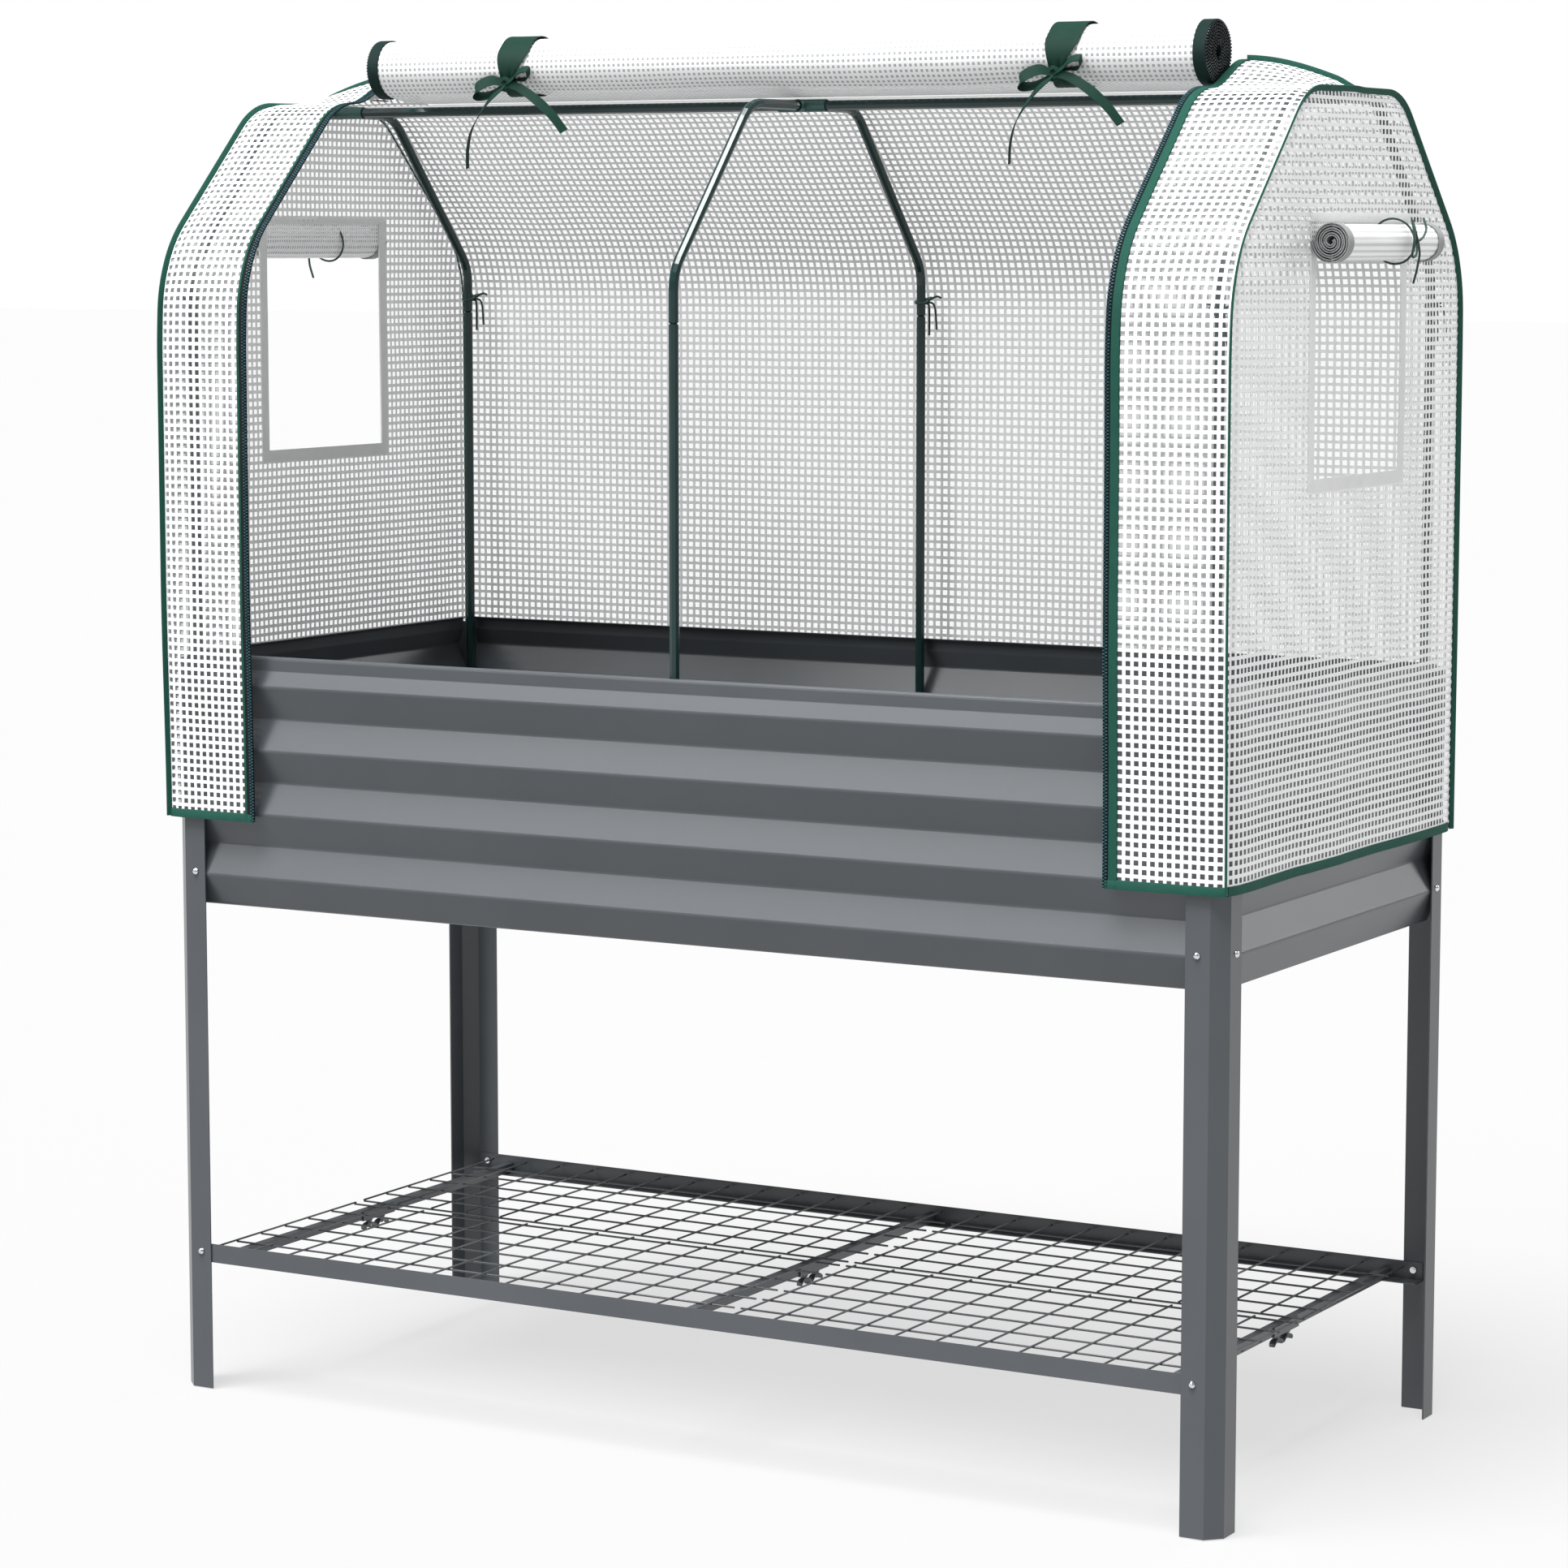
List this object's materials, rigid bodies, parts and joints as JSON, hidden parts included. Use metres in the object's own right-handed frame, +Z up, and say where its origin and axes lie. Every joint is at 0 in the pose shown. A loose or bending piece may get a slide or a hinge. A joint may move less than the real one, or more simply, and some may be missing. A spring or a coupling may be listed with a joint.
{
  "type": "raised planter",
  "caption": "Corrugated steel planter box on angle legs with a wire shelf and a fabric-covered tube greenhouse whose front door and end windows are rolled up.",
  "frame": {"origin": "on the ground at the middle of the four legs", "axes": "+X to the right seen from the front, -Y to the front where the door opens, +Z up"},
  "size_m": [1.2882, 0.5632, 1.4163],
  "materials": {
    "slate_steel": "satin slate-grey powder coat on thin folded steel",
    "shelf_wire": "satin near-black coat on welded wire",
    "dark_steel": "satin dark grey coat on sheet steel",
    "green_tube": "semi-gloss dark green coat on thin steel tube",
    "sleeve_plastic": "moulded green plastic",
    "cover_film": "white reinforcing grid in clear film, soft gloss",
    "green_tape": "woven green tape",
    "bright_steel": "bright plated steel",
    "zip_metal": "dark lacquered metal"
  },
  "bodies": {
    "stand": {"arch_top_centre": "green_tube", "arch_top_left": "green_tube", "arch_top_right": "green_tube", "box_bolt_back_left": "bright_steel", "box_bolt_back_right": "bright_steel", "box_bolt_front_left": "bright_steel", "box_bolt_front_right": "bright_steel", "cover_back": "cover_film", "cover_end_left": "cover_film", "cover_end_right": "cover_film", "cover_front_left": "cover_film", "cover_front_right": "cover_film", "floor_panel": "dark_steel", "floor_support_left": "dark_steel", "floor_support_right": "dark_steel", "leg_back_left": "slate_steel", "leg_back_right": "slate_steel", "leg_front_left": "slate_steel", "leg_front_right": "slate_steel", "panel_back": "slate_steel", "panel_front": "slate_steel", "panel_left": "slate_steel", "panel_right": "slate_steel", "post_back_centre": "green_tube", "post_back_left": "green_tube", "post_back_right": "green_tube", "post_front_centre": "green_tube", "post_front_left": "green_tube", "post_front_right": "green_tube", "ridge_beam_left": "green_tube", "ridge_beam_right": "green_tube", "ridge_connector_centre": "sleeve_plastic", "ridge_connector_left": "sleeve_plastic", "ridge_connector_right": "sleeve_plastic", "shelf_bar_centre_back": "slate_steel", "shelf_bar_centre_front": "slate_steel", "shelf_bar_left_back": "slate_steel", "shelf_bar_left_front": "slate_steel", "shelf_bar_right_back": "slate_steel", "shelf_bar_right_front": "slate_steel", "shelf_bolt_back_left": "bright_steel", "shelf_bolt_back_right": "bright_steel", "shelf_bolt_front_left": "bright_steel", "shelf_bolt_front_right": "bright_steel", "shelf_grid_left_back": "shelf_wire", "shelf_grid_left_front": "shelf_wire", "shelf_grid_right_back": "shelf_wire", "shelf_grid_right_front": "shelf_wire", "shelf_joiner_centre": "slate_steel", "shelf_joiner_left": "slate_steel", "shelf_joiner_right": "slate_steel", "shelf_rail_back": "slate_steel", "shelf_rail_front": "slate_steel"},
    "door": {"door_roll": "cover_film", "door_ribbon_left": "green_tape", "door_ribbon_right": "green_tape"},
    "window_flap_left": {"window_roll_left": "cover_film"},
    "window_flap_right": {"window_roll_right": "cover_film"},
    "zip_tab_left": {"zip_pull_left": "zip_metal"},
    "zip_tab_right": {"zip_pull_right": "zip_metal"}
  },
  "joints": [
    {"name": "door_roll_flop", "type": "hinge", "parent": "stand", "child": "door", "pos_m": [0, 0, 1.352], "axis": [-1, 0, 0], "range_deg": [0, 120]},
    {"name": "window_lift_left", "type": "hinge", "parent": "stand", "child": "window_flap_left", "pos_m": [-0.6052, 0, 1.228], "axis": [0, 1, 0], "range_deg": [0, 75]},
    {"name": "window_lift_right", "type": "hinge", "parent": "stand", "child": "window_flap_right", "pos_m": [0.6052, 0, 1.228], "axis": [0, -1, 0], "range_deg": [0, 75]},
    {"name": "zip_tab_flip_left", "type": "hinge", "parent": "stand", "child": "zip_tab_left", "pos_m": [-0.4965, -0.022, 1.353], "axis": [-1, 0, 0], "range_deg": [0, 150]},
    {"name": "zip_tab_flip_right", "type": "hinge", "parent": "stand", "child": "zip_tab_right", "pos_m": [0.4905, -0.022, 1.353], "axis": [-1, 0, 0], "range_deg": [0, 150]}
  ]
}
